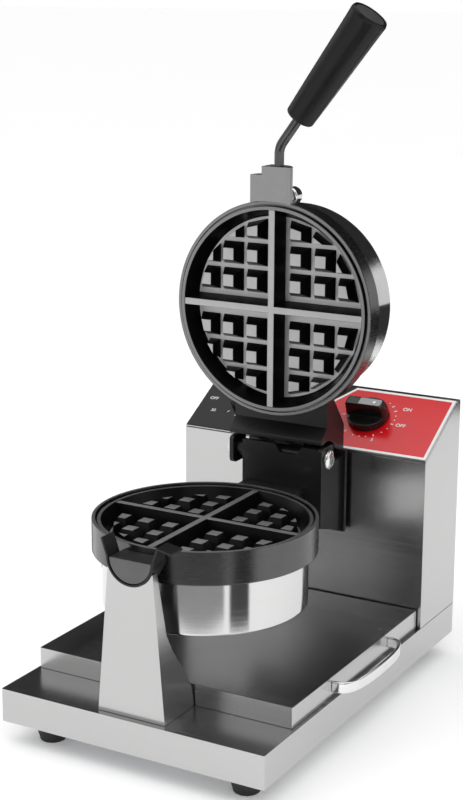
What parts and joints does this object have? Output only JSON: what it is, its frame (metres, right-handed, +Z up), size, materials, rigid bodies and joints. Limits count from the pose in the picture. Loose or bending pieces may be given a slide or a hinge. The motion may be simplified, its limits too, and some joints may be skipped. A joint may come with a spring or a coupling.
{
  "type": "waffle maker",
  "caption": "Rotary waffle maker with a flip head, a hinged round lid, a drip tray, dial controls and a long handle.",
  "frame": {"origin": "middle of the whole machine's box, at table height under the feet", "axes": "+Z up, +Y from the front post towards the rear housing, +X to the right of someone facing the front post; the machine is level"},
  "size_m": [0.2674, 0.3888, 0.6088],
  "materials": {
    "stainless": "brushed stainless sheet, fine straight grain",
    "sheet_steel": "plain galvanised and machined steel",
    "rubber": "matte black",
    "black_coat": "satin black coating",
    "nonstick": "cast aluminium with a dark satin non-stick coat",
    "cast_arm": "cast aluminium, dark grey coat",
    "chrome": "polished",
    "black_gloss": "glossy black",
    "red_label": "glossy red film with a white border",
    "black_plastic": "satin black moulding",
    "brass": "plain",
    "rod_steel": "dark polished bar",
    "element": "dull heat-tinted sheath"
  },
  "bodies": {
    "base": {"base_pan": "stainless", "bottom_cover": "sheet_steel", "foot_front_left": "rubber", "foot_front_right": "rubber", "foot_rear_left": "rubber", "foot_rear_right": "rubber", "front_post": "stainless", "cradle_saddle": "black_coat", "housing_shell": "stainless", "rear_cover": "sheet_steel", "rear_screw_1": "chrome", "rear_screw_2": "chrome", "rear_screw_3": "chrome", "rear_screw_4": "chrome", "control_panel": "stainless", "timer_label": "red_label", "thermostat_label": "black_gloss", "timer_body": "black_plastic", "thermostat_body": "black_plastic", "bearing_block": "sheet_steel", "bearing_washer": "brass", "terminal_block": "black_plastic", "cord_gland": "black_plastic"},
    "drip_tray": {"drip_tray": "stainless", "tray_handle": "chrome"},
    "thermostat_knob": {"thermostat_knob": "black_gloss", "thermostat_shaft": "brass"},
    "timer_knob": {"timer_knob": "black_gloss", "timer_shaft": "brass"},
    "head": {"rotor_bracket": "black_coat", "flip_shaft": "sheet_steel", "shaft_collar": "sheet_steel", "hinge_bolt": "chrome", "hinge_nut": "chrome", "pan_arm": "cast_arm", "lower_plate": "nonstick", "lower_casing": "stainless", "lower_cover": "sheet_steel", "lower_cover_nut": "chrome", "lower_element": "element", "lower_trunnion": "cast_arm"},
    "lid": {"lid_arm": "black_coat", "upper_plate": "nonstick", "upper_casing": "stainless", "upper_cover": "sheet_steel", "upper_cover_nut": "chrome", "upper_element": "element", "upper_trunnion": "cast_arm", "handle_rod": "rod_steel", "grip": "black_plastic", "grip_cap": "black_plastic", "lid_stud": "chrome"}
  },
  "joints": [
    {"name": "head_flip", "type": "hinge", "parent": "base", "child": "head", "pos_m": [-0.0087, -0.0712, 0.1823], "axis": [0, 1, 0], "range_deg": [-90, 90]},
    {"name": "lid_hinge", "type": "hinge", "parent": "head", "child": "lid", "pos_m": [-0.0087, 0.0642, 0.2084], "axis": [1, 0, 0], "range_deg": [0, 90]},
    {"name": "tray_slide", "type": "slide", "parent": "base", "child": "drip_tray", "axis": [1, 0, 0], "range_m": [0, 0.18]},
    {"name": "thermostat_turn", "type": "hinge", "parent": "base", "child": "thermostat_knob", "pos_m": [-0.0837, 0.144, 0.23092], "axis": [0, -0.4939, 0.8695], "range_deg": [-270, 0]},
    {"name": "timer_turn", "type": "hinge", "parent": "base", "child": "timer_knob", "pos_m": [0.0423, 0.14182, 0.22968], "axis": [0, -0.4939, 0.8695], "range_deg": [-300, 30]}
  ]
}
